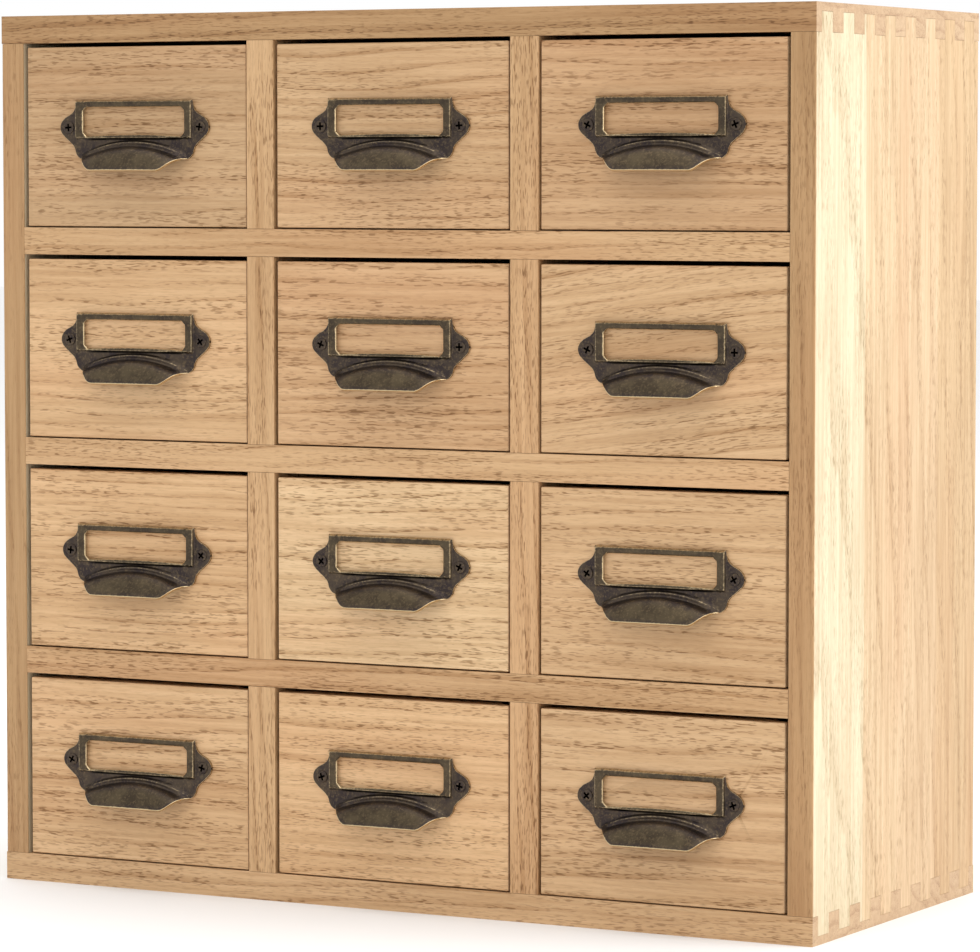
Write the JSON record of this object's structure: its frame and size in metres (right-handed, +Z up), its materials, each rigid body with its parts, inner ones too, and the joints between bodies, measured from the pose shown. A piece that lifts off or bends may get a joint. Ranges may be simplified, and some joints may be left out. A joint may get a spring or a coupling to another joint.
{
  "type": "card catalog cabinet",
  "caption": "Table-top wooden card catalog cabinet with finger-jointed corners and sliding drawers, each with a dark brass label frame over a finger cup.",
  "frame": {"origin": "centre of the case's underside", "axes": "+Z up, +X to the right and -Y out of the drawer fronts"},
  "size_m": [0.4, 0.181, 0.388],
  "materials": {
    "case_wood": "light oiled hardwood, fine open grain",
    "drawer_front_wood": "light oiled hardwood, grain across",
    "drawer_box_wood": "sanded, unfinished",
    "plywood": "sanded thin plywood",
    "antique_brass": "darkened brass, worn bright at the edges"
  },
  "bodies": {
    "case": {"top_board": "case_wood", "bottom_board": "case_wood", "left_side": "case_wood", "right_side": "case_wood", "shelf_1": "case_wood", "shelf_2": "case_wood", "shelf_3": "case_wood", "divider_1": "case_wood", "divider_2": "case_wood", "back_panel": "plywood"},
    "drawer_r1c1": {"drawer_front_r1c1": "drawer_front_wood", "drawer_box_r1c1": "drawer_box_wood", "drawer_bottom_r1c1": "plywood", "pull_r1c1": "antique_brass"},
    "drawer_r1c2": {"drawer_front_r1c2": "drawer_front_wood", "drawer_box_r1c2": "drawer_box_wood", "drawer_bottom_r1c2": "plywood", "pull_r1c2": "antique_brass"},
    "drawer_r1c3": {"drawer_front_r1c3": "drawer_front_wood", "drawer_box_r1c3": "drawer_box_wood", "drawer_bottom_r1c3": "plywood", "pull_r1c3": "antique_brass"},
    "drawer_r2c1": {"drawer_front_r2c1": "drawer_front_wood", "drawer_box_r2c1": "drawer_box_wood", "drawer_bottom_r2c1": "plywood", "pull_r2c1": "antique_brass"},
    "drawer_r2c2": {"drawer_front_r2c2": "drawer_front_wood", "drawer_box_r2c2": "drawer_box_wood", "drawer_bottom_r2c2": "plywood", "pull_r2c2": "antique_brass"},
    "drawer_r2c3": {"drawer_front_r2c3": "drawer_front_wood", "drawer_box_r2c3": "drawer_box_wood", "drawer_bottom_r2c3": "plywood", "pull_r2c3": "antique_brass"},
    "drawer_r3c1": {"drawer_front_r3c1": "drawer_front_wood", "drawer_box_r3c1": "drawer_box_wood", "drawer_bottom_r3c1": "plywood", "pull_r3c1": "antique_brass"},
    "drawer_r3c2": {"drawer_front_r3c2": "drawer_front_wood", "drawer_box_r3c2": "drawer_box_wood", "drawer_bottom_r3c2": "plywood", "pull_r3c2": "antique_brass"},
    "drawer_r3c3": {"drawer_front_r3c3": "drawer_front_wood", "drawer_box_r3c3": "drawer_box_wood", "drawer_bottom_r3c3": "plywood", "pull_r3c3": "antique_brass"},
    "drawer_r4c1": {"drawer_front_r4c1": "drawer_front_wood", "drawer_box_r4c1": "drawer_box_wood", "drawer_bottom_r4c1": "plywood", "pull_r4c1": "antique_brass"},
    "drawer_r4c2": {"drawer_front_r4c2": "drawer_front_wood", "drawer_box_r4c2": "drawer_box_wood", "drawer_bottom_r4c2": "plywood", "pull_r4c2": "antique_brass"},
    "drawer_r4c3": {"drawer_front_r4c3": "drawer_front_wood", "drawer_box_r4c3": "drawer_box_wood", "drawer_bottom_r4c3": "plywood", "pull_r4c3": "antique_brass"}
  },
  "joints": [
    {"name": "drawer_slide_r1c1", "type": "slide", "parent": "case", "child": "drawer_r1c1", "axis": [0, -1, 0], "range_m": [0, 0.13]},
    {"name": "drawer_slide_r1c2", "type": "slide", "parent": "case", "child": "drawer_r1c2", "axis": [0, -1, 0], "range_m": [0, 0.13]},
    {"name": "drawer_slide_r1c3", "type": "slide", "parent": "case", "child": "drawer_r1c3", "axis": [0, -1, 0], "range_m": [0, 0.13]},
    {"name": "drawer_slide_r2c1", "type": "slide", "parent": "case", "child": "drawer_r2c1", "axis": [0, -1, 0], "range_m": [0, 0.13]},
    {"name": "drawer_slide_r2c2", "type": "slide", "parent": "case", "child": "drawer_r2c2", "axis": [0, -1, 0], "range_m": [0, 0.13]},
    {"name": "drawer_slide_r2c3", "type": "slide", "parent": "case", "child": "drawer_r2c3", "axis": [0, -1, 0], "range_m": [0, 0.13]},
    {"name": "drawer_slide_r3c1", "type": "slide", "parent": "case", "child": "drawer_r3c1", "axis": [0, -1, 0], "range_m": [0, 0.13]},
    {"name": "drawer_slide_r3c2", "type": "slide", "parent": "case", "child": "drawer_r3c2", "axis": [0, -1, 0], "range_m": [0, 0.13]},
    {"name": "drawer_slide_r3c3", "type": "slide", "parent": "case", "child": "drawer_r3c3", "axis": [0, -1, 0], "range_m": [0, 0.13]},
    {"name": "drawer_slide_r4c1", "type": "slide", "parent": "case", "child": "drawer_r4c1", "axis": [0, -1, 0], "range_m": [0, 0.13]},
    {"name": "drawer_slide_r4c2", "type": "slide", "parent": "case", "child": "drawer_r4c2", "axis": [0, -1, 0], "range_m": [0, 0.13]},
    {"name": "drawer_slide_r4c3", "type": "slide", "parent": "case", "child": "drawer_r4c3", "axis": [0, -1, 0], "range_m": [0, 0.13]}
  ]
}
